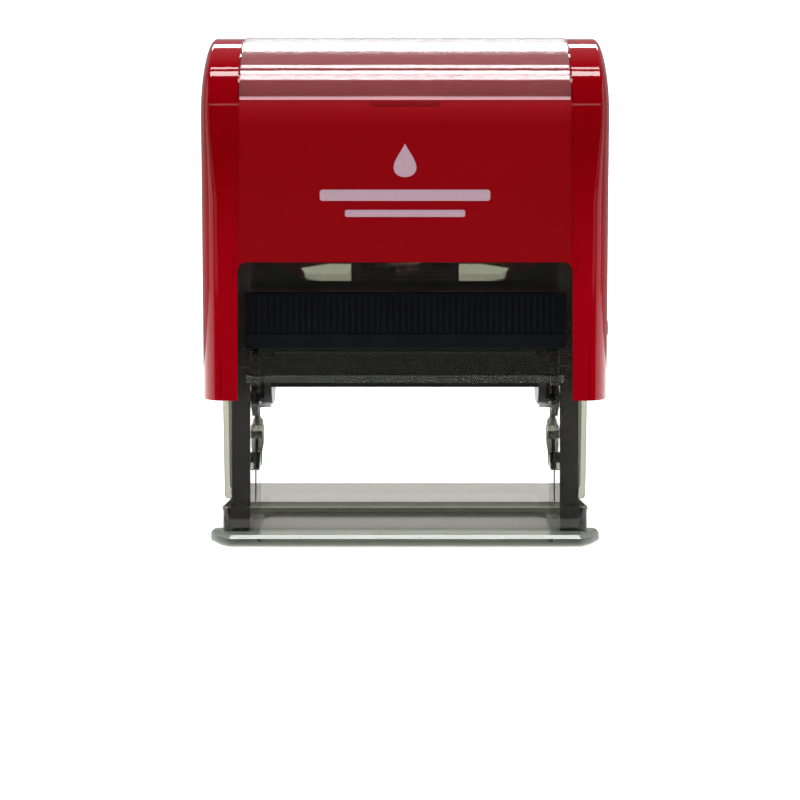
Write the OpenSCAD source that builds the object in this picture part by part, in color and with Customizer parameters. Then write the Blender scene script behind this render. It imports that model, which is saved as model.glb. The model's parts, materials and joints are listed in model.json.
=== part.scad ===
// Self-inking hand stamp: a red shell slides down over a clear frame, and the
// die under the ink cartridge turns half a turn on its way to the paper.
// Origin: centre of the foot, on the table. +Z up, +X right, the front faces -Y.

/* [Shell] */
// Widest half width of the shell
shell_half_w = 29.7; // [29.6:0.05:29.9]
// Half width of the shell at its bottom edge
shell_foot_half_w = 29.3; // [29.2:0.05:29.5]
// Half depth of the shell, front face to middle
shell_half_d = 16.5; // [16.5:0.1:17]
// Height of the shell's bottom edge with the stamp at rest
shell_bottom_z = 20.5; // [20.4:0.1:21]
// Height of the arched top
shell_top_z = 73.1; // [73.1:0.1:74]
// Thickness of the shell's front and rear walls
shell_wall = 1.6; // [1.4:0.1:1.6]
// Half width of the front window, the front panel and the cap recess
window_half_w = 24; // [24:0.1:24.4]
// Height of the front window's top edge
window_top_z = 40.3; // [39:0.1:41]

/* [Mechanism] */
// Travel of the shell from rest to print
stroke = 18; // [17:0.5:18]
// Height of the die's axle at rest
axle_z = 23.25; // [23.25:0.01:23.3]
// Radius of the die's axle pins
axle_r = 1.5; // [1.4:0.1:1.5]
// Distance from the axle to the cam pins
cam_arm = 4; // [3.8:0.1:4.2]
// Radius of the cam pins
cam_pin_r = 1.2; // [1:0.1:1.2]
// Running clearance on each side of a moving pin
running_gap = 0.05; // [0.03:0.01:0.08]

/* [Foot] */
// Half width of the foot rim
foot_half_w = 28.05; // [27.9:0.05:28.3]
// Half depth of the foot rim
foot_half_d = 19; // [18.6:0.1:19.4]
// Thickness of the foot rim
foot_t = 1.6; // [1.4:0.1:1.8]
// Height of the top of the foot's upright walls
foot_wall_top_z = 4.95; // [4.8:0.05:5.1]

/* [Frame] */
// Inner face of the frame's side walls
leg_in_x = 22.3; // [22.3:0.05:22.4]
// Outer face of the frame's side walls
leg_out_x = 25; // [25:0.01:25.05]
// Half depth of the side walls
leg_half_d = 13.5; // [13.3:0.1:13.5]
// Top of the side walls
leg_top_z = 43; // [42:0.5:44]

/* [Die] */
// Half width of the rubber die
die_half_w = 19; // [18:0.5:19]
// Half depth of the rubber die
die_half_d = 7; // [6:0.5:7]

/* [Spring] */
// Mean radius of the main spring's coil
coil_r = 4.2; // [4:0.1:4.3]
// Radius of the main spring's wire
wire_r = 0.45; // [0.35:0.05:0.5]
// Turns in the main spring
coil_turns = 7.5; // [6.5:0.5:8.5]

/* [Hidden] */
$fn = 48;
e = 0.02;

// Arched outline of the shell
arch_blend_r = 10;       // radius where the arch turns into the front face
arch_blend_z = 61.1;     // height of that radius's centre
edge_w = 2.6;            // width of the shell's rounded side edge, along X
edge_d = 6.5;            // depth of the same edge, into the shell
widest_z = 62;           // height at which the shell is widest
cap_z = 63.5;            // lower edge of the clear cap
cap_recess = 1.5;        // depth of the recess that the cap sits in
cap_proud = 0.15;        // how far the cap stands out of its recess
cavity_half_w = 28.3;    // between the side walls
cavity_corner_w = 26.4;  // same, near the front and rear walls
cavity_top_z = 69.4;
cavity_blend_z = 56.5;
panel_step = 0.2;        // how far the front panel lies behind the side bands
panel_low_z = 38.7;      // lower end of the panel, beside the window
panel_jog_z = 41.4;      // height below which the panel is wider, round the window's corners

// Cartridge bay
sill_low_z = 22.85;      // lower edge of the front and rear sills
sill_top_z = 27.8;
sill_out_y = 14.6;
bridge_low_z = 35.9;
bridge_top_z = 37.5;
pad_z = 28.7;            // inked face of the pad

// Die
ear_in_x = 19.6;
ear_out_x = 21.2;
rubber_z = axle_z + 5.25;   // printing face at rest, which prints at z = 0
cushion_z = 26.9;
plate_z = 26.1;
rubber_base_z = 27.9;

// Drive yoke
arm_in_x = 25.25;
arm_out_x = 26.85;
arm_half_d = 4.9;
bar_low_z = 66;
bar_top_z = 68.4;

// Lock button
button_z = 30;
lock_drop = 3;           // shell travel at which the button locks
button_r = 1.4;
tip_r = 1;

spring_low_z = 38.2;

rail_x = 26.75;          // outer face of the rails that guide the yoke

// Snap hooks at the feet of the legs
hook_y = 9.5;
hook_half_w = 1.6;

// Points of a circular arc
function arc(cy, cz, r, from, to, n = 12) =
    [for (i = [0:n]) let (a = from + (to - from) * i / n) [cy + r * cos(a), cz + r * sin(a)]];

// Arch: vertical sides, a blend radius and one large radius over the top
function crown_r(half_d, blend_z, blend_r, top_z) =
    (pow(half_d - blend_r, 2) + pow(top_z - blend_z, 2) - pow(blend_r, 2))
    / (2 * (top_z - blend_z - blend_r));
function arch(half_d, blend_z, blend_r, top_z, low_z) =
    let (
        r = crown_r(half_d, blend_z, blend_r, top_z),
        meet = atan2(blend_z - (top_z - r), half_d - blend_r)
    )
    concat(
        [[-half_d, low_z], [half_d, low_z]],
        arc(half_d - blend_r, blend_z, blend_r, 0, meet, 6),
        arc(0, top_z - r, r, meet, 180 - meet, 14),
        arc(blend_r - half_d, blend_z, blend_r, 180 - meet, 180, 6)
    );

// Outline of the shell, set back by d all round
function shell_arch(d) = arch(shell_half_d - d, arch_blend_z, arch_blend_r - d,
    shell_top_z - d, shell_bottom_z);

// A plate in the YZ plane, from x0 to x1
module yz_plate(x0, x1) {
    translate([x0, 0, 0]) rotate([90, 0, 90]) linear_extrude(x1 - x0) children();
}

// A plate in the XZ plane, from y0 to y1
module xz_plate(y0, y1) {
    translate([0, y1, 0]) rotate([90, 0, 0]) linear_extrude(y1 - y0) children();
}

// A box from its two corners
module block(low, high) {
    translate(low) cube(high - low);
}

// A box that is the same on both sides in X and Y
module centred_block(half_w, half_d, z0, z1) {
    block([-half_w, -half_d, z0], [half_w, half_d, z1]);
}

// A cylinder along X, from x0 to x1
module x_rod(x0, x1, y, z, r) {
    translate([x0, y, z]) rotate([0, 90, 0]) cylinder(r = r, h = x1 - x0);
}

module both_sides() {
    children();
    mirror([1, 0, 0]) children();
}

module front_and_rear() {
    children();
    mirror([0, 1, 0]) children();
}

// Rectangle with rounded corners
module rounded_rect(half_w, half_d, r) {
    square([2 * half_w, 2 * (half_d - r)], center = true);
    square([2 * (half_w - r), 2 * half_d], center = true);
    for (x = [-1, 1], y = [-1, 1])
        translate([x * (half_w - r), y * (half_d - r)]) circle(r = r);
}

// Outside of the shell before any opening is cut: an arch whose side edges are rounded
module shell_body() {
    intersection() {
        hull() for (a = [0:18:90])
            let (half_w = shell_half_w - edge_w * (1 - sin(a)))
            yz_plate(-half_w, half_w) polygon(shell_arch(edge_d * (1 - cos(a))));
        xz_plate(-shell_half_d - 1, shell_half_d + 1) polygon([
            [-shell_foot_half_w, shell_bottom_z], [shell_foot_half_w, shell_bottom_z],
            [shell_half_w, widest_z], [shell_half_w, shell_top_z + 1],
            [-shell_half_w, shell_top_z + 1], [-shell_half_w, widest_z]]);
    }
}

// The ring of space between the arch and the cap recess's floor
module cap_outline(outer, inner, low_z) {
    difference() {
        polygon(shell_arch(outer));
        polygon(shell_arch(inner));
        translate([-30, 0]) square([60, low_z]);
    }
}

module outer_shell() {
    color([0.62, 0.01, 0.05]) difference() {
        shell_body();
        // cavity, narrower beside the rounded edges
        yz_plate(-cavity_corner_w, cavity_corner_w) cavity_outline(shell_half_d - shell_wall, cavity_blend_z, 10);
        yz_plate(-cavity_half_w, cavity_half_w) cavity_outline(12.3, 62, 6);
        // recess for the clear cap
        yz_plate(-window_half_w, window_half_w) cap_outline(-1, cap_recess, cap_z);
        // the front and rear panels lie a little behind the side bands
        front_and_rear() block([-window_half_w, -shell_half_d - 1, panel_low_z],
            [window_half_w, -shell_half_d + panel_step, cap_z + e]);
        front_and_rear() block([-window_half_w - 0.8, -shell_half_d - 1, panel_low_z],
            [window_half_w + 0.8, -shell_half_d + panel_step, panel_jog_z]);
        // pry notch under the cap
        block([-4.9, -shell_half_d - 1, cap_z - 0.9], [4.9, -shell_half_d + 1.1, cap_z + 0.5]);
        // front window, open at the bottom
        xz_plate(-shell_half_d - 1, -shell_half_d + shell_wall + e) window_outline(1.3);
        // thumb window behind the cartridge
        xz_plate(shell_half_d - shell_wall - e, shell_half_d + 1)
            polygon([[-17.3, shell_bottom_z - 1], [17.3, shell_bottom_z - 1], [17.3, 38.1], [11.9, 39],
                [-11.9, 39], [-17.3, 38.1]]);
        // hole for the lock button
        x_rod(cavity_half_w - 1, shell_half_w + 1, 0, button_z, button_r + running_gap);
    }
    // ribs that bear on the drive yoke
    color([0.62, 0.01, 0.05]) both_sides() shell_rib(12);
    color([0.62, 0.01, 0.05]) both_sides() shell_rib(20);
}

module cavity_outline(half_d, blend_z, blend_r) {
    polygon(arch(half_d, blend_z, blend_r, cavity_top_z, shell_bottom_z - 1));
}

module window_outline(r) {
    translate([-window_half_w, shell_bottom_z - 1])
        square([2 * window_half_w, window_top_z - r - shell_bottom_z + 1]);
    translate([-window_half_w + r, window_top_z - 2 * r]) square([2 * (window_half_w - r), 2 * r]);
    for (x = [-1, 1])
        translate([x * (window_half_w - r), window_top_z - r]) circle(r = r);
}

module shell_rib(x) {
    intersection() {
        block([x, -9, bar_top_z], [x + 1.4, 9, shell_top_z]);
        yz_plate(x - 1, x + 3) polygon(arch(shell_half_d - shell_wall + 0.3, cavity_blend_z, 10.3,
            cavity_top_z + 0.3, shell_bottom_z));
    }
}

module index_cap() {
    half_w = window_half_w - 0.25;
    color([0.9, 0.92, 0.95, 0.35]) {
        yz_plate(-half_w, half_w) cap_outline(-cap_proud, cap_recess - 0.05, cap_z + 0.05);
    }
}

module drive_yoke() {
    color([0.09, 0.09, 0.1]) difference() {
        union() {
            centred_block(arm_out_x, arm_half_d, bar_low_z, bar_top_z);
            both_sides() block([arm_in_x, -arm_half_d, axle_z - 2.5], [arm_out_x, arm_half_d, bar_low_z + 1]);
            // stiffening webs under the bar
            both_sides() block([9, -1, bar_low_z - 4], [arm_in_x + 0.5, 1, bar_low_z + 1]);
            // socket for the top of the main spring
            translate([0, 0, bar_low_z - 4]) cylinder(r = 6.2, h = 5);
        }
        translate([0, 0, bar_low_z - 5]) cylinder(r = 5, h = 5);
        both_sides() x_rod(arm_in_x - 1, arm_out_x + 1, 0, axle_z, axle_r + running_gap);
        x_rod(arm_in_x - 1, arm_out_x + 1, 0, button_z, tip_r + 0.1);
    }
}

module lock_button() {
    flange_x = 27.7;
    color([0.55, 0.5, 0.5]) {
        x_rod(flange_x + 0.3, 29.5, 0, button_z, button_r);
        x_rod(29.5 - e, 29.7, 0, button_z, button_r - 0.25);
        x_rod(flange_x, flange_x + 0.55, 0, button_z, 2.3);
        x_rod(arm_in_x + 0.05, flange_x + 0.2, 0, button_z, tip_r);
    }
}

// Slice of a coil of round wire, level with the table
function coil_slice(r, wire, rise) =
    let (half_a = 360 * wire / rise, n = 3)
    concat(
        [for (i = [-n:n]) let (a = half_a * i / n, w = sqrt(max(0, 1 - pow(i / n, 2))) * wire)
            (r + w) * [cos(a), sin(a)]],
        [for (i = [n - 1:-1:1 - n]) let (a = half_a * i / n, w = sqrt(1 - pow(i / n, 2)) * wire)
            (r - w) * [cos(a), sin(a)]]
    );

module main_spring() {
    length = bar_low_z - spring_low_z;
    color([0.7, 0.7, 0.72]) translate([0, 0, spring_low_z])
        linear_extrude(length, twist = -360 * coil_turns, slices = 12 * coil_turns, segments = 10)
            polygon(coil_slice(coil_r, wire_r, length / coil_turns));
}

// Where the cam pin stands, in Y and Z, when the shell has gone down by share of its stroke
function cam_point(share) = [cam_arm * sin(180 * share), axle_z - stroke * share - cam_arm * cos(180 * share)];

// The space that a disc of radius r sweeps as it follows the cam pin's path
module cam_track(r, n = 24) {
    for (i = [0:n])
        translate(cam_point(i / n)) circle(r = r);
}

// Upright slot for a pin of radius r, from z0 to z1
module upright_slot(r, z0, z1) {
    translate([-r, z0]) square([2 * r, z1 - z0]);
    translate([0, z0]) circle(r = r);
    translate([0, z1]) circle(r = r);
}

// One side of the frame, on the right
module frame_side() {
    difference() {
        union() {
            yz_plate(leg_in_x, leg_out_x) side_outline();
            // rails that guide the yoke's arm
            front_and_rear() guide_rail();
            // cam rib, which stands out further half way down
            intersection() {
                yz_plate(leg_in_x - 0.95, leg_in_x + e) cam_track(cam_pin_r + 1.5);
                xz_plate(-10, 10) cam_rib_profile();
            }
        }
        yz_plate(leg_in_x - 2, leg_in_x + 1.3) cam_track(cam_pin_r + 0.12);
        yz_plate(leg_in_x - 2, arm_out_x) upright_slot(axle_r + 0.15, axle_z - stroke, axle_z);
    }
    // snap hooks that hold the foot on
    front_and_rear() xz_plate(hook_y - hook_half_w, hook_y + hook_half_w)
        polygon([[leg_out_x - e, 3.7], [26.5, 4.2], [26.5, 4.7], [leg_out_x - e, 6]]);
}

module side_outline() {
    top_r = 5;
    translate([-leg_half_d, 0.9]) square([2 * leg_half_d, leg_top_z - top_r - 0.9]);
    translate([-leg_half_d + top_r, leg_top_z - 2 * top_r]) square([2 * (leg_half_d - top_r), 2 * top_r]);
    for (y = [-1, 1])
        translate([y * (leg_half_d - top_r), leg_top_z - top_r]) circle(r = top_r);
}

module guide_rail() {
    translate([0, 5.2, 0]) xz_plate(0, 1.3)
        polygon([[leg_out_x - e, 5.3], [rail_x - 0.5, 5.3], [rail_x - 0.25, 5.8], [rail_x, 20],
            [rail_x, leg_top_z - 3], [leg_out_x - e, leg_top_z - 1]]);
}

module cam_rib_profile() {
    x = leg_in_x;
    polygon([[x + 0.1, 9], [x - 0.65, 9], [x - 0.8, 9.3], [x - 0.8, 11.4], [x - 0.95, 12.1], [x - 0.95, 14.6],
        [x - 0.75, 15.5], [x - 0.45, 16.2], [x - 0.45, 17.6], [x - 0.6, 18.4], [x - 0.6, 22.5], [x + 0.1, 22.5]]);
}

// Sill under the front of the cartridge, with a wider chamfered lower edge and end gussets
module sill() {
    block([-leg_in_x - e, -leg_half_d, sill_low_z + 0.1], [leg_in_x + e, -13, sill_top_z]);
    yz_plate(-22.2, 22.2) polygon([[-13.4, sill_low_z + 0.1], [-13.4, sill_top_z],
        [-sill_out_y + 0.32, sill_top_z], [-sill_out_y, sill_top_z - 0.4], [-sill_out_y, sill_low_z + 1.1]]);
    yz_plate(-22.9, 22.9) polygon([[-13, sill_low_z], [-13, sill_low_z + 1.2],
        [-sill_out_y, sill_low_z + 1.2], [-sill_out_y + 0.9, sill_low_z]]);
    both_sides() xz_plate(-13.2, -9.6)
        polygon([[20.3, 20.6], [21, 20.6], [leg_in_x + e, sill_low_z - 0.4], [leg_in_x + e, sill_low_z + 1],
            [20.3, sill_low_z + 1]]);
}

// Narrow ledge along the bridge's lower edge, over the cartridge's front plate
module bridge_ledge() {
    polygon([[-leg_half_d + e, bridge_low_z], [-leg_half_d - 0.5, bridge_low_z],
        [-leg_half_d - 0.5, bridge_low_z + 0.15], [-leg_half_d + e, bridge_low_z + 0.6]]);
}

module inner_frame() {
    color([0.3, 0.33, 0.31, 0.55]) difference() {
        union() {
            both_sides() frame_side();
            front_and_rear() sill();
            // ledges that carry the cartridge
            both_sides() block([leg_in_x - 1.1, -leg_half_d, sill_top_z - 0.8],
                [leg_in_x + e, leg_half_d, sill_top_z]);
            // bridge over the cartridge, with upstands and end gussets
            centred_block(leg_in_x + e, leg_half_d, bridge_low_z, bridge_top_z);
            front_and_rear() block([-leg_in_x - e, -leg_half_d, bridge_top_z - e],
                [leg_in_x + e, -leg_half_d + 0.9, 40.6]);
            front_and_rear() yz_plate(-leg_in_x - e, leg_in_x + e) bridge_ledge();
            both_sides() xz_plate(-leg_half_d + 2, leg_half_d - 2)
                polygon([[14.6, bridge_top_z - e], [17.8, 39.4], [leg_in_x + e, 41.5],
                    [leg_in_x + e, bridge_top_z - e]]);
        }
        // blind holes for the lock button, at rest and at the lock position
        for (drop = [0, lock_drop])
            x_rod(leg_out_x - 0.8, leg_out_x + 2, 0, button_z - drop, tip_r + 0.1);
        // holes for the spring cup's clips
        both_sides() block([6, -2, bridge_low_z - 1], [7.2, 2, bridge_top_z + 1]);
    }
}

// Flat foot: wide in front and behind, where its ends stand out past the ring
module foot_outline(inset) {
    w = foot_half_w - inset;
    d = foot_half_d - inset;
    both_sides() front_and_rear() polygon([[-e, e], [-e, -d], [w - 3 + 0.2 * inset, -d],
        [w - 1.6, -d + 2.2], [w - 0.9, -d + 4.2], [w - 0.2, -d + 6.1], [w, -d + 6.9 - 0.3 * inset],
        [w - 0.25, -d + 7.7 - inset], [w - 0.9, -d + 8.2 - 1.6 * inset], [26.1, -d + 8.2 - 1.6 * inset],
        [26.1, e]]);
}

module base_ring() {
    ring_in_y = 13.9;
    color([0.3, 0.33, 0.31, 0.55]) difference() {
        union() {
            linear_extrude(foot_t - 0.5) foot_outline(0);
            translate([0, 0, foot_t - 0.5 - e]) linear_extrude(0.5 + e) foot_outline(0.5);
            // upright walls round the legs
            translate([0, 0, foot_t - e]) linear_extrude(foot_wall_top_z - foot_t)
                rounded_rect(26.2, ring_in_y + 0.9, 1.2);
        }
        // opening that the die prints through
        translate([0, 0, -1]) linear_extrude(foot_wall_top_z + 2)
            rounded_rect(leg_in_x - 0.9, 12.4, 1.5);
        // pocket that the legs stand in
        translate([0, 0, 0.85]) linear_extrude(foot_wall_top_z)
            square([2 * (leg_out_x + 0.1), 2 * ring_in_y], center = true);
        // windows that the snap hooks pass through
        both_sides() front_and_rear() block([leg_out_x, hook_y - hook_half_w - 0.15, 3.5],
            [leg_out_x + 3, hook_y + hook_half_w + 0.15, foot_wall_top_z + 1]);
        // clearance for the yoke's arms and the axle
        both_sides() block([leg_out_x, -arm_half_d - 0.3, 2.4], [leg_out_x + 3, arm_half_d + 0.3, 20]);
    }
}

module spring_cup() {
    color([0.05, 0.05, 0.06]) {
        centred_block(7.9, 7.4, bridge_top_z, spring_low_z);
        both_sides() block([6.4, -7.4, bridge_top_z], [7.9, 7.4, 46]);
        block([-7.9, 6.5, bridge_top_z], [7.9, 7.4, 46]);
        cylinder_at(3.2, spring_low_z - e, 44);
        cylinder_at(2.6, 44 - e, 45.5);
        both_sides() block([6.05, -1.9, bridge_low_z + 0.1], [7.15, 1.9, bridge_top_z + e]);
    }
}

module cylinder_at(r, z0, z1) {
    translate([0, 0, z0]) cylinder(r = r, h = z1 - z0);
}

// Ink cartridge: a tray with its open side down and a ribbed grip at each end
module ink_cartridge() {
    low_z = sill_top_z + 0.1;
    top_z = bridge_low_z - 0.15;
    grip_y = -sill_out_y + 0.2;
    color([0.06, 0.06, 0.07]) difference() {
        union() {
            centred_block(22.1, leg_half_d - 0.1, low_z, top_z);
            // front plate, wider than the bay
            block([-23, grip_y, low_z], [23, -leg_half_d - 0.05, top_z]);
            block([-22.1, -leg_half_d - 0.1, low_z], [22.1, -leg_half_d + 0.2, top_z]);
            // plain band along the lower edge
            block([-23, grip_y - 0.25, low_z], [23, grip_y + e, low_z + 2]);
            block([-22.1, leg_half_d - 0.2, low_z], [22.1, leg_half_d + 0.5, top_z]);
            // grip ribs
            for (x = [-21.9:0.9:21.9]) {
                block([x - 0.22, grip_y - 0.25, low_z + 2.15], [x + 0.22, grip_y + e, top_z - 0.3]);
                block([x - 0.22, leg_half_d + 0.4, low_z + 2.15], [x + 0.22, leg_half_d + 0.75, top_z - 0.3]);
            }
        }
        centred_block(20.8, 9.2, low_z - 1, top_z - 1);
    }
}

module ink_reservoir() {
    color([0.2, 0.02, 0.04]) centred_block(20.6, 9, 31.2, bridge_low_z - 1.3);
}

module ink_pad() {
    color([0.35, 0.02, 0.05]) centred_block(20.6, 9, pad_z, 31.15);
}

// Outline of the carrier's end plates, from the axle down to the cam pin
module ear_outline() {
    low_z = 18.8;
    top_z = 26;
    half_d = 7.3;
    r = 5;
    intersection() {
        union() {
            translate([-half_d, low_z + r]) square([2 * half_d, top_z - low_z - r]);
            translate([r - half_d, low_z]) square([2 * (half_d - r), 2 * r]);
            for (y = [-1, 1])
                translate([y * (half_d - r), low_z + r]) circle(r = r);
        }
        translate([-half_d, low_z]) square([2 * half_d, top_z - low_z]);
    }
}

module die_carrier() {
    color([0.08, 0.08, 0.09]) difference() {
        union() {
            centred_block(ear_in_x + e, 7.3, 21.7, plate_z);
            both_sides() yz_plate(ear_in_x, ear_out_x) ear_outline();
            // lips that hold the die plate's ends
            both_sides() block([die_half_w + 0.3, -5, plate_z - e], [ear_in_x + 0.4, 5, plate_z + 0.7]);
        }
        // hollows between the cross ribs on the carrier's back
        for (x = [-14.4, -4.8, 4.8, 14.4])
            translate([x, 0, 0]) centred_block(4, 5.8, 21, 24.6);
        both_sides() x_rod(17, 22, 0, axle_z, axle_r);
        both_sides() x_rod(19.9, 22, 0, axle_z - cam_arm, cam_pin_r);
    }
}

module die_plate() {
    color([0.8, 0.8, 0.78]) centred_block(die_half_w + 0.2, die_half_d, plate_z, cushion_z);
}

module die_cushion() {
    color([0.3, 0.3, 0.3]) centred_block(die_half_w, die_half_d, cushion_z, rubber_base_z);
}

// Rubber sheet with a plain raised pattern: a rule above and below, and blocks between
module rubber_die() {
    block_w = 2.9;
    color([0.55, 0.1, 0.12]) {
        centred_block(die_half_w, die_half_d, rubber_base_z, rubber_base_z + 0.25);
        for (y = [-6, 6])
            block([-18, y - 0.4, rubber_base_z + 0.2], [18, y + 0.4, rubber_z]);
        for (i = [-3:3])
            block([i * 5.2 - block_w / 2, -3.6, rubber_base_z + 0.2], [i * 5.2 + block_w / 2, 3.6, rubber_z]);
    }
}

module axle_pin() {
    color([0.75, 0.75, 0.77]) x_rod(17.2, arm_out_x, 0, axle_z, axle_r);
}

module cam_pin() {
    color([0.75, 0.75, 0.77]) x_rod(19.9, leg_in_x + 1.1, 0, axle_z - cam_arm, cam_pin_r);
}

module axle_pin_right() axle_pin();
module axle_pin_left() mirror([1, 0, 0]) axle_pin();
module cam_pin_right() cam_pin();
module cam_pin_left() mirror([1, 0, 0]) cam_pin();

outer_shell();
index_cap();
drive_yoke();
lock_button();
main_spring();
inner_frame();
base_ring();
spring_cup();
ink_cartridge();
ink_reservoir();
ink_pad();
die_carrier();
die_plate();
die_cushion();
rubber_die();
axle_pin_left();
axle_pin_right();
cam_pin_left();
cam_pin_right();
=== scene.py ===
"""Looks of a self-inking hand stamp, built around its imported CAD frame."""
import json
import math

import bmesh
import bpy
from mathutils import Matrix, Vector


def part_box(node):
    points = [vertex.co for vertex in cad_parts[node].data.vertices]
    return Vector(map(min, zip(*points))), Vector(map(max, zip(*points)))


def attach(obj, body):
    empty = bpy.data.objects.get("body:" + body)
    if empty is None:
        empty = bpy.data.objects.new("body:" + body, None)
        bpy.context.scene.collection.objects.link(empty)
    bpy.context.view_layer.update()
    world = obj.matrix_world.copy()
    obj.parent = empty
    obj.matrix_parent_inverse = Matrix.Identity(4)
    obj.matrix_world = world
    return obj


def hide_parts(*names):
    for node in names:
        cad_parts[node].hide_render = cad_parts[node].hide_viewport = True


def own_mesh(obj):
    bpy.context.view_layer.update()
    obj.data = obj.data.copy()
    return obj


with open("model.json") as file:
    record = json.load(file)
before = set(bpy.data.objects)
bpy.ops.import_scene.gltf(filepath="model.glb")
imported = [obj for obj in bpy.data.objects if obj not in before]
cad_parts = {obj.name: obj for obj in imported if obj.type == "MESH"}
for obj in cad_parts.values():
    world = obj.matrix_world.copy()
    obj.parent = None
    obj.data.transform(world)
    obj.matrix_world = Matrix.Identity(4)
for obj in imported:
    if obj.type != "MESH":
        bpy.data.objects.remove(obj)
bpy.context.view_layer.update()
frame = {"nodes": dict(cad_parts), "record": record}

MM = 0.001
RECORD = frame["record"]
BODY_OF = {node: body for body, nodes in RECORD["behaviour"]["bodies"].items() for node in nodes}

# ----------------------------------------------------------- sizes, millimetres

SHELL_LOW, SHELL_HIGH = (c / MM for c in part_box("outer_shell"))
CAP_LOW, CAP_HIGH = (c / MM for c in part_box("index_cap"))
SPRING_LOW, SPRING_HIGH = (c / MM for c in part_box("main_spring"))
BUTTON_LOW, BUTTON_HIGH = (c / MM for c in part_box("lock_button"))

# the arch, seen from the side
HALF_W = SHELL_HIGH.x
HALF_D = SHELL_HIGH.y
BOTTOM_Z = SHELL_LOW.z
TOP_Z = SHELL_HIGH.z
BLEND_R = 10                    # radius between the arch and the front face
BLEND_Z = BOTTOM_Z + 40.6       # height of that radius's centre
FOOT_NARROWING = 0.4            # how much narrower the shell's half width is at its foot
WIDEST_Z = 62
EDGE_D = 6.8                    # depth of the rounded side edge
# width of that edge in X, by height
EDGE_W = ((BOTTOM_Z, 3.0), (49, 3.0), (53, 2.5), (60, 1.75), (TOP_Z, 1.75))
PAINTED_SHADE_Z = 57                 # where the side bands' painted shade is darkest

# steps in the shell's outside
CAP_Z = 63.5                    # foot of the cap's recess
CAP_RECESS = 1.5
PANEL_STEP = 0.2
PANEL_LOW_Z = 38.7
PANEL_JOG_Z = 41.4              # below it the panel is a little wider
NOTCH_DEPTH = 1.1               # thumb notch under the cap
NOTCH_X = 4.9
NOTCH_Z = CAP_Z - 0.9

# the shell's openings and its inside
WINDOW_X = 24
PANEL_JOG_X = WINDOW_X + 0.8
WINDOW_Z = 40.3
WINDOW_R = 1.3
REAR_WINDOW_X = 17.3
REAR_WINDOW_TOP_X = 11.9
REAR_WINDOW_Z = 39
REAR_WINDOW_BEND_Z = 38.1       # where its sides start to slant in
BUTTON_HOLE_R = 1.5
CAVITY_X = 28.3
CAVITY_CORNER_X = 26.4
CAVITY_TOP_Z = TOP_Z - 3.7
CAVITY_ARCH = (HALF_D - 1.6, BLEND_Z - 4.6, 10, CAVITY_TOP_Z)       # for outline_point
CAVITY_SIDE_ARCH = (12.3, 62, 6, CAVITY_TOP_Z)

# other pieces
FOOT_TOP_Z = 1.6                # top of the flat foot
FOOT_SLOPE = 0.5                # height of the slope at its edge
BUTTON_PROUD = 0.6              # how much further the button stands out than the CAD's box allows

# surface tints
SMOKE_TINT = (0.72, 0.72, 0.66)
# the foot's flange, below its top, gets a lighter and greener tint than the walls: painted light,
# standing in for the light the clear flange carries in from above
FOOT_FLANGE_PAINTED_LIGHT_TINT = (0.54, 0.59, 0.5)
FOOT_HIGH_TINT = (0.4, 0.39, 0.37)


# ---------------------------------------------------------------- mesh helpers

def new_object(name, mesh):
    """An object for a finished mesh, in the scene."""
    obj = bpy.data.objects.new(name, mesh)
    bpy.context.scene.collection.objects.link(obj)
    return obj


def mesh_from(name, points, faces):
    """A mesh from points in millimetres and faces by point number."""
    mesh = bpy.data.meshes.new(name)
    mesh.from_pydata([Vector(p) * MM for p in points], [], faces)
    mesh.validate()
    return mesh


def clean(mesh, merge=1e-6, flat_angle=None):
    """Joins doubled points, removes lines inside flat faces, and turns every face outwards."""
    bm = bmesh.new()
    bm.from_mesh(mesh)
    bmesh.ops.remove_doubles(bm, verts=bm.verts, dist=merge)
    if flat_angle:
        bmesh.ops.dissolve_limit(bm, angle_limit=math.radians(flat_angle),
                                 verts=bm.verts, edges=bm.edges)
    bmesh.ops.recalc_face_normals(bm, faces=bm.faces)
    bm.to_mesh(mesh)
    bm.free()


def apply_modifiers(obj):
    """Makes an object's modifiers part of its mesh."""
    depsgraph = bpy.context.evaluated_depsgraph_get()
    mesh = bpy.data.meshes.new_from_object(obj.evaluated_get(depsgraph))
    obj.modifiers.clear()
    obj.data = mesh


def round_edges(obj, width, segments=2, angle=32):
    """Rounds every edge sharper than angle, and shades the result smooth."""
    bevel = obj.modifiers.new("round", "BEVEL")
    bevel.width = width * MM
    bevel.segments = segments
    bevel.limit_method = "ANGLE"
    bevel.angle_limit = math.radians(angle)
    bevel.use_clamp_overlap = True
    bevel.miter_outer = "MITER_ARC"
    apply_modifiers(obj)
    obj.data.shade_smooth()
    obj.data.set_sharp_from_angle(angle=math.radians(38))
    normals = obj.modifiers.new("normals", "WEIGHTED_NORMAL")
    normals.keep_sharp = True
    normals.weight = 80
    apply_modifiers(obj)


def finish_piece(obj, node, material):
    """Puts a material on a piece that stands for a CAD node, and moves it with that node's body."""
    obj.data.materials.clear()
    obj.data.materials.append(material)
    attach(obj, BODY_OF[node])
    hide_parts(node)
    return obj


def subtract(obj, mesh):
    """Cuts a closed mesh out of an object."""
    clean(mesh)
    cutter = new_object("cutter", mesh)
    cut = obj.modifiers.new("cut", "BOOLEAN")
    cut.operation = "DIFFERENCE"
    cut.solver = "EXACT"
    cut.object = cutter
    apply_modifiers(obj)
    bpy.data.objects.remove(cutter)


def side_faces(count, start=0):
    """The sides between two outlines of count points each, the first from point number start."""
    return [[start + k, start + (k + 1) % count, start + count + (k + 1) % count, start + count + k]
            for k in range(count)]


def cut_between(obj, low, high):
    """Cuts away the solid between two outlines with as many points each."""
    count = len(low)
    faces = side_faces(count) + [list(range(count)), list(range(count, 2 * count))]
    subtract(obj, mesh_from("cutter", low + high, faces))


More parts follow.
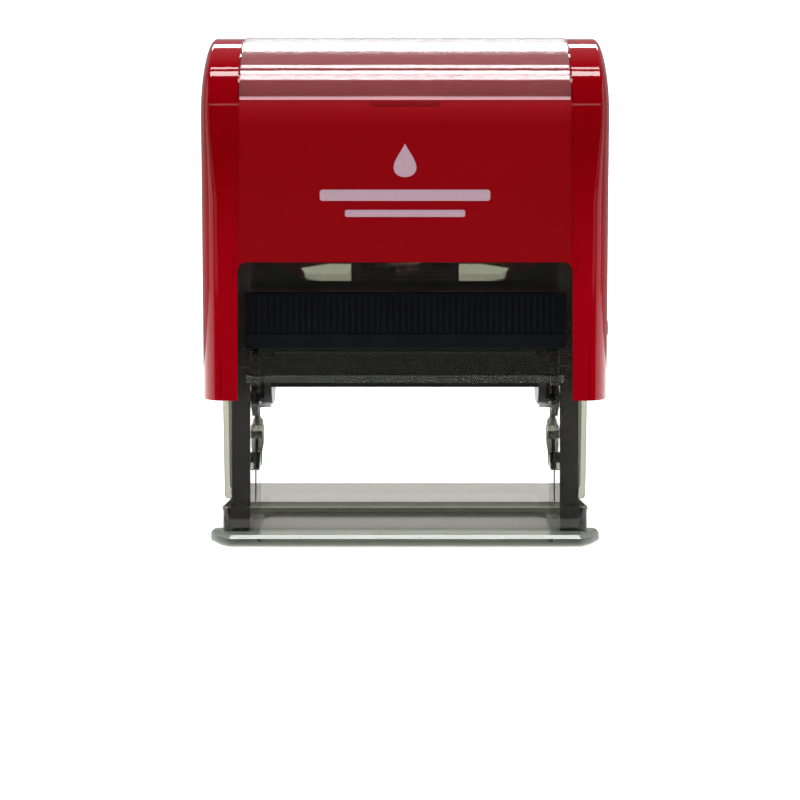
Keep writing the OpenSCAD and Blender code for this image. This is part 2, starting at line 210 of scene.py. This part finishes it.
def cut_hole(obj, centre, radius, length=3.0, steps=40):
    """Cuts a round hole along X, to length either side of its centre."""
    angles = [2 * math.pi * i / steps for i in range(steps)]
    ring = [(centre[1] + radius * math.cos(a), centre[2] + radius * math.sin(a)) for a in angles]
    cut_between(obj, *([(centre[0] + x, y, z) for y, z in ring] for x in (-length, length)))


def cut_prism(obj, outline, low_y, high_y):
    """Cuts away an outline in x and z, from low_y to high_y."""
    cut_between(obj, *([(x, y, z) for x, z in outline] for y in (low_y, high_y)))


def slope_step(mesh, low_z, high_z):
    """Turns an upright step into a slope, by raising each point at its foot to the one above."""
    def place(vertex):
        return round(vertex.co.x, 6), round(vertex.co.y, 6)

    above = {place(v) for v in mesh.vertices if abs(v.co.z / MM - high_z) < 0.01}
    for v in mesh.vertices:
        if abs(v.co.z / MM - low_z) < 0.03 and place(v) in above:
            v.co.z = high_z * MM


def softened(node, material, width, segments=2, flat_angle=0.4, step=None):
    """A copy of a CAD node with its moulded edges rounded, standing for that node."""
    mesh = frame["nodes"][node].data.copy()
    mesh.materials.clear()
    if step:
        slope_step(mesh, *step)
    clean(mesh, flat_angle=flat_angle)
    obj = new_object(node + "_look", mesh)
    round_edges(obj, width, segments)
    return finish_piece(obj, node, material)


# ------------------------------------------------------------ material helpers

class Shader:
    """Builds one procedural material around a Principled shader."""

    def __init__(self, name, **inputs):
        self.material = bpy.data.materials.new(name)
        self.material.use_nodes = True
        self.tree = self.material.node_tree
        self.shader = self.tree.nodes["Principled BSDF"]
        self.output = self.tree.nodes["Material Output"]
        for key, value in inputs.items():
            self.set(key, value)

    def plug(self, socket, value):
        """Links an input to another node's output, or gives it a value."""
        if isinstance(value, bpy.types.NodeSocket):
            self.tree.links.new(value, socket)
        elif socket.type == "RGBA" and len(value) == 3:
            socket.default_value = (*value, 1)
        else:
            socket.default_value = value

    def set(self, key, value):
        """Sets one of the Principled shader's inputs."""
        self.plug(self.shader.inputs[key.replace("_", " ")], value)

    def node(self, kind, inputs=None, **settings):
        node = self.tree.nodes.new(kind)
        for key, value in settings.items():
            setattr(node, key, value)
        for key, value in (inputs or {}).items():
            self.plug(node.inputs[key], value)
        return node

    def place(self, scale=(1, 1, 1)):
        """Object coordinates in millimetres, stretched by scale."""
        coords = self.node("ShaderNodeTexCoord").outputs["Object"]
        mapping = self.node("ShaderNodeMapping", {"Vector": coords})
        mapping.inputs["Scale"].default_value = [s / MM for s in scale]
        return mapping.outputs["Vector"]

    def noise(self, scale, detail, stretch=(1, 1, 1)):
        """Noise with scale cycles a millimetre."""
        inputs = {"Vector": self.place(stretch), "Scale": scale, "Detail": detail}
        return self.node("ShaderNodeTexNoise", inputs).outputs["Fac"]

    def remap(self, value, low, high, from_low=0.0, from_high=1.0):
        """Turns the range from_low to from_high into low to high, and keeps to it."""
        inputs = {"Value": value, "From Min": from_low, "From Max": from_high,
                  "To Min": low, "To Max": high}
        return self.node("ShaderNodeMapRange", inputs).outputs["Result"]

    def mix(self, factor, a, b):
        """A colour between a and b. The Mix node's colours are its inputs 6 and 7."""
        return self.node("ShaderNodeMix", {0: factor, 6: a, 7: b}, data_type="RGBA").outputs[2]

    def math(self, operation, a, b=0.0):
        return self.node("ShaderNodeMath", {0: a, 1: b}, operation=operation).outputs[0]

    def bump(self, height, distance, strength):
        """Bumps the surface, with distance in millimetres."""
        inputs = {"Height": height, "Distance": distance * MM, "Strength": strength}
        self.set("Normal", self.node("ShaderNodeBump", inputs).outputs["Normal"])

    def let_light_through(self):
        """Lets the light that falls on other surfaces pass through this one."""
        ray = self.node("ShaderNodeLightPath").outputs
        soft = self.math("MAXIMUM", ray["Is Shadow Ray"], ray["Is Diffuse Ray"])
        clear = self.node("ShaderNodeBsdfTransparent", {"Color": (0.92, 0.92, 0.92)}).outputs[0]
        blend = self.node("ShaderNodeMixShader", {0: soft, 1: self.shader.outputs[0], 2: clear})
        self.tree.links.new(blend.outputs[0], self.output.inputs["Surface"])

    def axis(self, letter):
        """One object coordinate, in millimetres."""
        split = self.node("ShaderNodeSeparateXYZ", {"Vector": self.place()})
        return split.outputs[letter]


# ------------------------------------------------------------------- materials

def red_plastic():
    """Deep red moulded plastic: polished side bands, and satin front and rear panels. The side
    bands carry painted shade, darkest at the shoulder and lighter above and below it, and the front
    panel a painted sheen just below the cap.
    """
    s = Shader("shell_red", IOR=1.46)
    cloud = s.noise(0.06, 3)
    # painted shade: the side bands are darkest at the shoulder's height and lighter above and below
    # it, as the light falls; the cloud noise adds random tone
    off_painted_shade = s.math("ABSOLUTE", s.math("SUBTRACT", s.axis("Z"), PAINTED_SHADE_Z))
    painted_shade_and_tone = s.math("ADD", s.remap(off_painted_shade, -0.1, 0.8, 0, 18), s.math("MULTIPLY", cloud, 0.3))
    band_with_painted_shade = s.mix(painted_shade_and_tone, (0.27, 0.0, 0.002), (0.4, 0.0, 0.006))
    off_middle = s.math("ABSOLUTE", s.axis("X"))
    inside_panel = s.remap(off_middle, 1.0, 0.0, WINDOW_X - 0.3, WINDOW_X + 0.1)
    below_cap = s.remap(s.axis("Z"), 1.0, 0.0, CAP_Z - 0.5, CAP_Z + 0.5)
    panel = s.math("MULTIPLY", inside_panel, below_cap)
    streak = s.remap(s.noise(0.9, 4), 0.0, 0.03)
    s.set("Roughness", s.math("ADD", s.remap(panel, 0.03, 0.24), streak))
    s.set("Specular_IOR_Level", s.remap(panel, 0.5, 0.18))
    base = s.mix(panel, band_with_painted_shade, s.mix(cloud, (0.29, 0.0, 0.002), (0.34, 0.0, 0.004)))
    # painted sheen: the front panel turns a lighter red just below the cap, standing in for the
    # overhead strip's reflection
    painted_sheen_near_cap = s.math("MULTIPLY", panel, s.remap(s.axis("Z"), 0.0, 1.0, CAP_Z - 3.5, CAP_Z + 1))
    s.set("Base_Color", s.mix(painted_sheen_near_cap, base, (0.46, 0.012, 0.02)))
    grain = s.math("ADD", s.noise(3.2, 2), s.math("MULTIPLY", s.noise(0.22, 2), 3.0))
    s.bump(grain, 0.006, 0.25)
    return s.material


def clear_plastic():
    """Water-clear moulded plastic for the cap, with slight sink waves and a pink lower rim."""
    s = Shader("clear_cap", IOR=1.5)
    rim = s.remap(s.axis("Z"), 1.0, 0.0, CAP_LOW.z + 0.34, CAP_LOW.z + 0.42)
    s.set("Base_Color", s.mix(rim, (0.98, 0.93, 0.94), (1.0, 0.5, 0.56)))
    s.set("Transmission_Weight", s.remap(rim, 0.96, 0.1))
    s.set("Roughness", s.remap(s.noise(0.5, 3), 0.01, 0.05))
    s.bump(s.noise(0.1, 2, (0.5, 1, 1)), 0.06, 0.3)
    s.let_light_through()
    return s.material


def smoke_plastic(name, density, low_tint, high_tint, tint_z, haze_x):
    """Clear plastic with a smoke tint. It darkens with depth, and has one surface tint below
    tint_z and one above; a lighter one below, as on the foot's flange, is painted light. Beyond
    haze_x it is a little cloudier, as it is where it is thick."""
    s = Shader(name, IOR=1.49)
    off_middle = s.math("ABSOLUTE", s.axis("X"))
    s.set("Transmission_Weight", s.remap(off_middle, 0.985, 0.94, haze_x, haze_x + 0.3))
    above = s.remap(s.axis("Z"), 0.0, 1.0, tint_z - 0.1, tint_z + 0.1)
    s.set("Base_Color", s.mix(above, low_tint, high_tint))
    s.set("Roughness", s.remap(s.noise(0.7, 3), 0.015, 0.07))
    s.bump(s.noise(0.25, 2), 0.04, 0.25)
    absorb = s.node("ShaderNodeVolumeAbsorption", {"Color": (0.65, 0.66, 0.61), "Density": density})
    s.tree.links.new(absorb.outputs["Volume"], s.output.inputs["Volume"])
    s.let_light_through()
    return s.material


def black_plastic(name, shade, rough, grain_size, grain_depth, shine=0.5):
    """Black moulded plastic with a fine spark-eroded grain."""
    s = Shader(name, IOR=1.48, Specular_IOR_Level=shine)
    s.set("Base_Color", s.mix(s.noise(0.3, 3), shade, tuple(1.6 * c for c in shade)))
    s.set("Roughness", s.remap(s.noise(0.8, 4), rough - 0.06, rough + 0.08))
    s.bump(s.noise(grain_size, 3), grain_depth, 0.5)
    return s.material


def steel(name, shade, along):
    """Bright steel with drawing or turning marks across the given stretch."""
    s = Shader(name, Metallic=1.0)
    marks = s.noise(1.0, 3, along)
    s.set("Base_Color", s.mix(marks, shade, tuple(0.75 * c for c in shade)))
    s.set("Roughness", s.remap(marks, 0.16, 0.34))
    s.bump(marks, 0.004, 0.4)
    return s.material


def button_plastic():
    """Grey moulded plastic with a faint translucence."""
    s = Shader("button_grey", Subsurface_Weight=0.15, Subsurface_Scale=0.0008, IOR=1.48)
    s.set("Base_Color", s.mix(s.noise(1.2, 2), (0.33, 0.29, 0.3), (0.42, 0.38, 0.39)))
    s.set("Roughness", s.remap(s.noise(2.0, 3), 0.25, 0.4))
    s.bump(s.noise(5.0, 2), 0.006, 0.4)
    return s.material


def ink_cloth():
    """Woven pad cover, wet with ink: a fine weave, darker where it is wettest."""
    s = Shader("ink_felt", Coat_Weight=0.35, Coat_Roughness=0.25, Sheen_Weight=0.2)
    threads = [s.math("SINE", s.math("MULTIPLY", s.axis(letter), 2 * math.pi / 0.35))
               for letter in "XY"]
    weave = s.math("MULTIPLY", *threads)
    wet = s.noise(0.18, 4)
    s.set("Base_Color", s.mix(wet, (0.2, 0.0, 0.01), (0.38, 0.005, 0.03)))
    s.set("Roughness", s.remap(wet, 0.35, 0.7))
    s.bump(s.math("ADD", weave, s.noise(6.0, 2)), 0.03, 0.7)
    return s.material


def ink_sponge():
    """Open foam, soaked with ink."""
    s = Shader("ink_foam", Roughness=0.8)
    cells = s.node("ShaderNodeTexVoronoi", {"Vector": s.place(), "Scale": 2.6}).outputs["Distance"]
    s.set("Base_Color", s.mix(cells, (0.05, 0.0, 0.004), (0.22, 0.0, 0.02)))
    s.bump(cells, 0.15, 0.8)
    return s.material


def sheet_plastic():
    """Smoke-tinted sheet with a frosted face."""
    s = Shader("plate_clear", Base_Color=(0.1, 0.105, 0.1), Transmission_Weight=0.3, IOR=1.49)
    s.set("Roughness", s.remap(s.noise(3.0, 3), 0.25, 0.45))
    s.bump(s.noise(6.0, 2), 0.005, 0.5)
    return s.material


def cushion():
    """Closed-cell foam."""
    s = Shader("cushion_foam", Roughness=0.85)
    cells = s.node("ShaderNodeTexVoronoi", {"Vector": s.place(), "Scale": 4.0}).outputs["Distance"]
    s.set("Base_Color", s.mix(cells, (0.03, 0.03, 0.032), (0.1, 0.1, 0.105)))
    s.bump(cells, 0.06, 0.8)
    return s.material


def stained_rubber():
    """Laser-cut rubber, stained by the ink on its raised faces."""
    s = Shader("die_rubber")
    stain = s.remap(s.noise(0.5, 4), 0.0, 1.0, 0.35, 0.65)
    s.set("Base_Color", s.mix(stain, (0.26, 0.02, 0.03), (0.5, 0.03, 0.05)))
    s.set("Roughness", s.remap(stain, 0.6, 0.4))
    s.bump(s.noise(7.0, 3), 0.012, 0.6)
    return s.material


def print_ink():
    """Pale pad-printed ink, thin enough that the red warms it."""
    s = Shader("panel_print", IOR=1.45)
    s.set("Base_Color", s.mix(s.noise(2.5, 4), (0.56, 0.36, 0.44), (0.68, 0.47, 0.54)))
    s.set("Roughness", s.remap(s.noise(4.0, 2), 0.4, 0.55))
    s.bump(s.noise(9.0, 2), 0.003, 0.4)
    return s.material


# ----------------------------------------------------------- the arch's section

def crown(half_d, blend_z, blend_r, top_z):
    """(radius of the arch's top, angle at which it meets the blend radius)."""
    across, up = half_d - blend_r, top_z - blend_z
    radius = (across ** 2 + up ** 2 - blend_r ** 2) / (2 * (up - blend_r))
    return radius, math.atan2(blend_z - (top_z - radius), across)


def outline_point(row, half_d, blend_z, blend_r, top_z):
    """Where a row lies on an arch, as y and z."""
    kind, value, side = row
    radius, meet = crown(half_d, blend_z, blend_r, top_z)
    if kind == "side":
        return side * half_d, min(value, blend_z)
    if kind == "blend":
        angle = value * meet
        y = half_d - blend_r + blend_r * math.cos(angle)
        return side * y, blend_z + blend_r * math.sin(angle)
    angle = math.pi - meet - value * (math.pi - 2 * meet)
    return radius * math.cos(angle), top_z - radius + radius * math.sin(angle)


def shell_outline(row, inset):
    """Where a row lies on the shell's own arch, set back by inset."""
    return outline_point(row, HALF_D - inset, BLEND_Z, BLEND_R - inset, TOP_Z - inset)


def arch_rows(heights, blend, crown_steps):
    """The arch's outline cut up from its front foot to its rear foot: ('side', height),
    ('blend', share of that arc) or ('crown', share of that arc), each with the side it is on."""
    front = [("side", h, -1) for h in heights] + [("blend", b, -1) for b in blend]
    top = [("crown", i / crown_steps, 0) for i in range(crown_steps + 1)]
    return front + top + [(kind, value, 1) for kind, value, _ in reversed(front)]


def blend_share(z):
    """Which share of the blend radius lies below height z."""
    _, meet = crown(HALF_D, BLEND_Z, BLEND_R, TOP_Z)
    return math.asin((z - BLEND_Z) / BLEND_R) / meet


def by_height(z, steps):
    """A value between (height, value) steps."""
    for (z0, v0), (z1, v1) in zip(steps, steps[1:]):
        if z <= z1:
            return v0 + (v1 - v0) * max(0, z - z0) / (z1 - z0)
    return steps[-1][1]


# ----------------------------------------------------------------- outer shell

def shell_rows():
    """The rows of the shell's grid, from its front foot over the top."""
    heights = [BOTTOM_Z, 24, 27, 30, 33, 36, PANEL_LOW_Z, PANEL_JOG_Z, *range(43, 60, 2)]
    blend = [0, 0.05, 0.1, blend_share(NOTCH_Z), 0.2, blend_share(CAP_Z),
             0.3, 0.36, 0.43, 0.5, 0.57, 0.64, 0.71, 0.78, 0.85, 0.93]
    return arch_rows(heights, blend, 48)


def shell_columns():
    """(angle round the rounded edge, or None on the flat, and x on the flat) across the shell."""
    edge = [(a, None) for a in (90, 86, 81, 75, 68, 60, 51, 41, 30, 20, 10, 0)]
    flat = [(None, x)
            for x in (CAVITY_CORNER_X, 25.6, PANEL_JOG_X, WINDOW_X, 20, 15, 10, NOTCH_X, 0)]
    right = [(1, *column) for column in edge + flat]
    return right[:-1] + [(-1, angle, x) for _, angle, x in reversed(right)]


def shell_point(column, row, depth):
    """A point of the shell's outside, set back by depth."""
    side, angle, flat_x = column
    if angle is None:
        y, z = shell_outline(row, depth)
        return side * flat_x, y, z
    a = math.radians(angle)
    y, z = shell_outline(row, depth + EDGE_D * (1 - math.cos(a)))
    half_w = HALF_W - FOOT_NARROWING * max(0, WIDEST_Z - z) / (WIDEST_Z - BOTTOM_Z)
    return side * (half_w - by_height(z, EDGE_W) * (1 - math.sin(a))), y, z


def cavity_point(column, row):
    """The point of the shell's inside behind a point of its outside."""
    side, angle, flat_x = column
    if angle is None:
        y, z = outline_point(row, *CAVITY_ARCH)
        return side * flat_x, y, min(z, CAVITY_TOP_Z)
    y, z = outline_point(row, *CAVITY_SIDE_ARCH)
    return side * CAVITY_X, y, z


def shell_depth(x, row_low, row_high):
    """How far a cell of the shell's grid lies behind the outside."""
    (y0, z0), (y1, z1) = shell_outline(row_low, 0), shell_outline(row_high, 0)
    y, z, x = (y0 + y1) / 2, (z0 + z1) / 2, abs(x)
    if x < WINDOW_X and z > CAP_Z:
        return CAP_RECESS
    if y < 0 and x < NOTCH_X and z > NOTCH_Z:
        return NOTCH_DEPTH
    panel_half_w = PANEL_JOG_X if z < PANEL_JOG_Z else WINDOW_X
    return PANEL_STEP if z > PANEL_LOW_Z and x < panel_half_w else 0.0


def column_x(column):
    """Roughly where a column stands across the shell."""
    side, angle, flat_x = column
    return side * (flat_x if angle is None else HALF_W - 3 * (1 - math.sin(math.radians(angle))))


def build_shell():
    """The outer shell as one closed solid: a grid over the arch, stepped back by depth, with an
    inner skin."""
    rows, columns = shell_rows(), shell_columns()
    points, number, faces, cells, levels = [], {}, [], {}, {}

    def vertex(i, j, depth):
        key = (i, j, depth)
        if key not in number:
            number[key] = len(points)
            points.append(cavity_point(columns[i], rows[j]) if depth == "in"
                          else shell_point(columns[i], rows[j], depth))
        return number[key]

    for i, pair in enumerate(zip(columns, columns[1:])):
        for j, (low, high) in enumerate(zip(rows, rows[1:])):
            depth = cells[i, j] = shell_depth(sum(map(column_x, pair)) / 2, low, high)
            for corner in ((i, j), (i + 1, j), (i + 1, j + 1), (i, j + 1)):
                levels.setdefault(corner, set()).add(depth)

    def between(corner, a, b):
        """The corner's points from depth a to depth b, with those of any step between them."""
        steps = sorted(d for d in levels[corner] | {a, b} if min(a, b) <= d <= max(a, b))
        return [vertex(*corner, d) for d in (steps if a < b else reversed(steps))]

    for (i, j), depth in cells.items():
        ring = [(i, j), (i + 1, j), (i + 1, j + 1), (i, j + 1)]
        faces.append([vertex(*c, depth) for c in ring])
        faces.append([vertex(*c, "in") for c in reversed(ring)])
        neighbours = ((i, j - 1), (i + 1, j), (i, j + 1), (i - 1, j))
        for a, b, beside in zip(ring, ring[1:] + ring[:1], neighbours):
            if beside in cells:
                deeper = cells[beside]
                if deeper > depth:
                    faces.append(between(b, depth, deeper) + between(a, deeper, depth))
            elif 0 <= beside[0] < len(columns) - 1:
                faces.append([vertex(*b, depth), vertex(*a, depth),
                              vertex(*a, "in"), vertex(*b, "in")])
    last = len(rows) - 1
    for i in (0, len(columns) - 1):
        for depth in (0.0, "in"):
            faces += [[vertex(i, j, depth), vertex(i, j + 1, depth), vertex(i, last - j - 1, depth),
                       vertex(i, last - j, depth)] for j in range(last // 2)]
        faces.append([vertex(i, 0, 0.0), vertex(i, 0, "in"),
                      vertex(i, last, "in"), vertex(i, last, 0.0)])
    mesh = mesh_from("outer_shell_look", points, faces)
    clean(mesh)
    return new_object("outer_shell_look", mesh)


def both_halves(outline):
    """An outline in x and z that is open on the left, closed with its mirror image."""
    return outline + [(-x, z) for x, z in reversed(outline)]


def cut_openings(shell):
    """The front window, the thumb window behind and the lock button's hole."""
    low_z = BOTTOM_Z - 1
    corner = [(WINDOW_X - WINDOW_R * (1 - math.cos(a)), WINDOW_Z - WINDOW_R * (1 - math.sin(a)))
              for a in (math.pi / 2 * i / 8 for i in range(9))]
    front = [(WINDOW_X, low_z)] + corner
    cut_prism(shell, both_halves(front), -HALF_D - 1, -HALF_D + 3)
    rear = [(REAR_WINDOW_X, low_z), (REAR_WINDOW_X, REAR_WINDOW_BEND_Z),
            (REAR_WINDOW_TOP_X, REAR_WINDOW_Z)]
    cut_prism(shell, both_halves(rear), HALF_D - 3, HALF_D + 1)
    cut_hole(shell, (HALF_W - 0.5, 0, (BUTTON_LOW.z + BUTTON_HIGH.z) / 2), BUTTON_HOLE_R)
    clean(shell.data, flat_angle=0.2)


# ------------------------------------------------------------------- clear cap

def build_cap():
    """The clear cap: a sheet bent over the arch, standing a little proud of its recess."""
    proud = CAP_HIGH.z - TOP_Z
    half_w, low_z = CAP_HIGH.x, CAP_LOW.z
    sections = []
    for inset in (-proud, CAP_RECESS - 0.05):
        _, meet = crown(HALF_D - inset, BLEND_Z, BLEND_R - inset, TOP_Z - inset)
        start = math.asin((low_z - BLEND_Z) / (BLEND_R - inset)) / meet
        rows = arch_rows([], [start + (1 - start) * i / 24 for i in range(24)], 48)
        sections.append([shell_outline(row, inset) for row in rows])
    section = sections[0] + sections[1][::-1]
    points = [(x, y, z) for x in (-half_w, half_w) for y, z in section]
    count, top = len(section), len(sections[0])
    faces = side_faces(count)
    for side in (0, count):
        faces += [[side + k, side + k + 1, side + count - 2 - k, side + count - 1 - k]
                  for k in range(top - 1)]
    mesh = mesh_from("index_cap_look", points, faces)
    clean(mesh)
    return new_object("index_cap_look", mesh)


# ----------------------------------------------------------------- main spring

def build_spring(wire_r=0.42, turns=7.5, dead_turns=1.1):
    """Round wire wound into a coil whose end turns lie close together."""
    coil_r = SPRING_HIGH.x - wire_r
    rise = SPRING_HIGH.z - SPRING_LOW.z - 2 * wire_r
    steps = int(turns * 40)
    dead_rise = dead_turns * 2 * wire_r * 0.9

    def height(turn):
        """How far the wire has risen after this many turns."""
        if turn < dead_turns:
            return dead_rise * turn / dead_turns
        if turn > turns - dead_turns:
            return rise - dead_rise * (turns - turn) / dead_turns
        return dead_rise + (rise - 2 * dead_rise) * (turn - dead_turns) / (turns - 2 * dead_turns)

    round_wire = 12
    points, faces = [], []
    for i in range(steps + 1):
        turn = turns * i / steps
        angle = 2 * math.pi * (turn - 0.3)
        for k in range(round_wire):
            a = 2 * math.pi * k / round_wire
            r = coil_r + wire_r * math.cos(a)
            z = SPRING_LOW.z + wire_r + height(turn) + wire_r * math.sin(a)
            points.append((r * math.cos(angle), r * math.sin(angle), z))
        if i:
            faces += side_faces(round_wire, (i - 1) * round_wire)
    faces += [list(range(first, first + round_wire)) for first in (0, steps * round_wire)]
    mesh = mesh_from("main_spring_look", points, faces)
    clean(mesh)
    mesh.shade_smooth()
    mesh.set_sharp_from_angle(angle=math.radians(60))
    return new_object("main_spring_look", mesh)


# -------------------------------------------------------------- panel's emblem

def drop_outline(cx, cz, r, steps=40):
    """An ink drop: a circle drawn out to a point above."""
    tip, points = 2.3 * r, []
    for i in range(steps):
        t = 2 * math.pi * i / steps
        pinch = math.sin(t / 2) ** 1.6
        points.append((cx + r * math.sin(t) * pinch * 1.12, cz + tip * (1 + math.cos(t)) / 2 - r))
    return points


def bar_outline(cx, cz, half_w, half_h, r, steps=6):
    """A bar with rounded corners."""
    points = []
    for corner, (sx, sz) in enumerate(((1, 1), (-1, 1), (-1, -1), (1, -1))):
        for i in range(steps + 1):
            a = math.pi / 2 * (corner + i / steps)
            points.append((cx + sx * (half_w - r) + r * math.cos(a),
                           cz + sz * (half_h - r) + r * math.sin(a)))
    return points


def build_emblem():
    """A printed ink drop over plain bars, as a film on the front panel."""
    face_y, half_film = -(HALF_D - PANEL_STEP), 0.03
    shapes = (drop_outline(0, 54.6, 2.1), bar_outline(0, 49.9, 12.2, 0.8, 0.4),
              bar_outline(0, 47.3, 8.6, 0.5, 0.25))
    points, faces = [], []
    for outline in shapes:
        start, count = len(points), len(outline)
        points += [(x, y, z) for y in (face_y + half_film, face_y - half_film) for x, z in outline]
        faces.append(list(range(start, start + count)))
        faces.append(list(range(start + 2 * count - 1, start + count - 1, -1)))
        faces += side_faces(count, start)
    mesh = mesh_from("panel_print", points, faces)
    clean(mesh)
    return new_object("panel_print", mesh)


# --------------------------------------------------------------------- staging

def area_light(name, place, target, size, power, mirrored=True):
    """A light that the camera doesn't see, and that the stamp mirrors if mirrored. In metres."""
    data = bpy.data.lights.new(name, "AREA")
    data.shape = "RECTANGLE"
    data.size, data.size_y = size
    data.energy = power
    obj = bpy.data.objects.new(name, data)
    bpy.context.scene.collection.objects.link(obj)
    obj.location = place
    obj.visible_camera = False
    obj.visible_glossy = mirrored
    obj.rotation_euler = (Vector(target) - Vector(place)).to_track_quat("-Z", "Y").to_euler()
    return obj


def build_stage():
    """A pale floor, and a pale wall behind. The stamp mirrors only the floor's rear part."""
    wall_y, curve_r, height, half_w, front_y, split_y = 0.55, 0.25, 0.62, 0.6, -0.7, -0.04
    curve = [(wall_y - curve_r + curve_r * math.sin(a), curve_r - curve_r * math.cos(a))
             for a in (math.pi / 2 * i / 16 for i in range(17))]
    white = Shader("floor_white", Base_Color=(0.93, 0.93, 0.93), Roughness=0.9,
                   Emission_Color=(1, 1, 1), Emission_Strength=0.35).material
    outlines = {"floor": [(split_y, 0.0), curve[0]],
                "floor_front": [(front_y, 0.0), (split_y, 0.0)],
                "wall": curve + [(wall_y, height)]}
    for name, outline in outlines.items():
        points = [(x / MM, y / MM, z / MM) for y, z in outline for x in (-half_w, half_w)]
        faces = [(2 * i, 2 * i + 1, 2 * i + 3, 2 * i + 2) for i in range(len(outline) - 1)]
        mesh = mesh_from(name, points, faces)
        mesh.shade_smooth()
        mesh.materials.append(white)
        piece = new_object(name, mesh)
        piece.visible_glossy = name == "floor"


def build_world(front=0.02, rear=0.3, backdrop=1.3):
    """A dark room in front and a paler one behind for the stamp to mirror, with a white backdrop
    wherever the camera sees past the wall."""
    world = bpy.data.worlds.new("studio")
    bpy.context.scene.world = world
    world.use_nodes = True
    tree = world.node_tree
    coords = tree.nodes.new("ShaderNodeTexCoord")
    split = tree.nodes.new("ShaderNodeSeparateXYZ")
    remap = tree.nodes.new("ShaderNodeMapRange")
    for socket, value in zip(("From Min", "From Max", "To Min", "To Max"), (0.1, 0.8, front, rear)):
        remap.inputs[socket].default_value = value
    tree.links.new(coords.outputs["Generated"], split.inputs["Vector"])
    tree.links.new(split.outputs["Y"], remap.inputs["Value"])
    ray = tree.nodes.new("ShaderNodeLightPath").outputs
    blend = tree.nodes.new("ShaderNodeMix")
    blend.inputs[3].default_value = backdrop
    tree.links.new(ray["Is Camera Ray"], blend.inputs[0])
    tree.links.new(remap.outputs["Result"], blend.inputs[2])
    tree.links.new(blend.outputs[0], tree.nodes["Background"].inputs["Strength"])
    tree.nodes["Background"].inputs["Color"].default_value = (0.95, 0.97, 1.0, 1)


def build_lights():
    """Two strips overhead, cards behind, at the sides and in front, slim strips at the front
    corners, a wash on the wall, and a glow inside the shell."""
    area_light("strip_front", (0, -0.123, 0.7), (0, -0.123, 0), (0.5, 0.115), 2.7)
    area_light("strip_rear", (0, 0.023, 0.7), (0, 0.023, 0), (0.5, 0.053), 1.0)
    area_light("rear_card", (0, 0.425, 0.415), (0, 0, 0.06), (0.4, 0.078), 1.4)
    area_light("wall_wash", (0, 0.25, 0.66), (0, 0.5, 0.1), (1.0, 0.1), 2.0, mirrored=False)
    for side in (-1, 1):
        area_light("side_card", (side * 0.6, 0.04, 0.2), (0, 0.04, 0.2), (0.4, 0.5), 0.62)
        area_light("slim_strip", (side * 0.5, -0.4, 0.15), (0, 0, 0.05), (0.3, 0.3), 0.12)
    area_light("front_card", (0, -0.6, 0.3), (0, 0, 0.06), (0.3, 0.035), 0.06)
    glow = area_light("shell_glow", (0, 0, 0.0645), (0, 0, 0), (0.05, 0.024), 0.0045)
    glow.data.color = (1.0, 0.7, 0.55)
    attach(glow, BODY_OF["outer_shell"])


def build_camera():
    """A level camera in front of the stamp, with its frame shifted. In metres."""
    data = bpy.data.cameras.new("camera")
    data.lens = 115
    data.sensor_width = 36
    data.shift_x = -0.0063
    data.shift_y = -0.283
    camera = bpy.data.objects.new("camera", data)
    bpy.context.scene.collection.objects.link(camera)
    camera.location = (0, -0.382, 0.053)
    camera.rotation_euler = (math.radians(90), 0, 0)
    bpy.context.scene.camera = camera


# --------------------------------------------------------------------- objects

RED = red_plastic()
CLEAR = clear_plastic()
SMOKE = smoke_plastic("smoke_clear", 1700.0, SMOKE_TINT, SMOKE_TINT, 0, 22.0)
# the lighter tint below the flange's top is painted light
FOOT_SMOKE = smoke_plastic("smoke_foot", 800.0, FOOT_FLANGE_PAINTED_LIGHT_TINT, FOOT_HIGH_TINT, 1.75, 30.0)
YOKE_BLACK = black_plastic("yoke_black", (0.014, 0.014, 0.016), 0.34, 3.0, 0.012)
CUP_BLACK = black_plastic("cup_black", (0.012, 0.012, 0.014), 0.22, 2.0, 0.006)
CARTRIDGE_BLACK = black_plastic("cartridge_black", (0.005, 0.006, 0.009), 0.5, 4.0, 0.012,
                                shine=0.2)
CARRIER_BLACK = black_plastic("carrier_black", (0.011, 0.011, 0.013), 0.3, 3.5, 0.01)
PIN_STEEL = steel("pin_steel", (0.66, 0.66, 0.68), (9, 1, 1))
SPRING_STEEL = steel("spring_steel", (0.62, 0.58, 0.5), (3, 3, 9))

shell = build_shell()
cut_openings(shell)
round_edges(shell, 0.2, 2, 30)
finish_piece(shell, "outer_shell", RED)
emblem = build_emblem()
emblem.data.materials.append(print_ink())
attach(emblem, BODY_OF["outer_shell"])

cap = build_cap()
round_edges(cap, 0.12, 2, 40)
finish_piece(cap, "index_cap", CLEAR)

spring = build_spring()
finish_piece(spring, "main_spring", SPRING_STEEL)
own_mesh(spring)

softened("drive_yoke", YOKE_BLACK, 0.25)
button = softened("lock_button", button_plastic(), 0.15)
for v in button.data.vertices:
    if v.co.x / MM > HALF_W - 1.0:
        v.co.x += BUTTON_PROUD * MM
softened("inner_frame", SMOKE, 0.25)
softened("base_ring", FOOT_SMOKE, 0.2, step=(FOOT_TOP_Z - FOOT_SLOPE, FOOT_TOP_Z))
softened("spring_cup", CUP_BLACK, 0.2)
softened("ink_cartridge", CARTRIDGE_BLACK, 0.06, 1, flat_angle=None)
softened("ink_reservoir", ink_sponge(), 0.4)
softened("ink_pad", ink_cloth(), 0.4)
softened("die_carrier", CARRIER_BLACK, 0.2)
softened("die_plate", sheet_plastic(), 0.1)
softened("die_cushion", cushion(), 0.1)
softened("rubber_die", stained_rubber(), 0.05)
for pin in ("axle_pin_left", "axle_pin_right", "cam_pin_left", "cam_pin_right"):
    softened(pin, PIN_STEEL, 0.2)

build_stage()
build_world()
build_lights()
build_camera()
bpy.context.scene.view_settings.view_transform = "Standard"
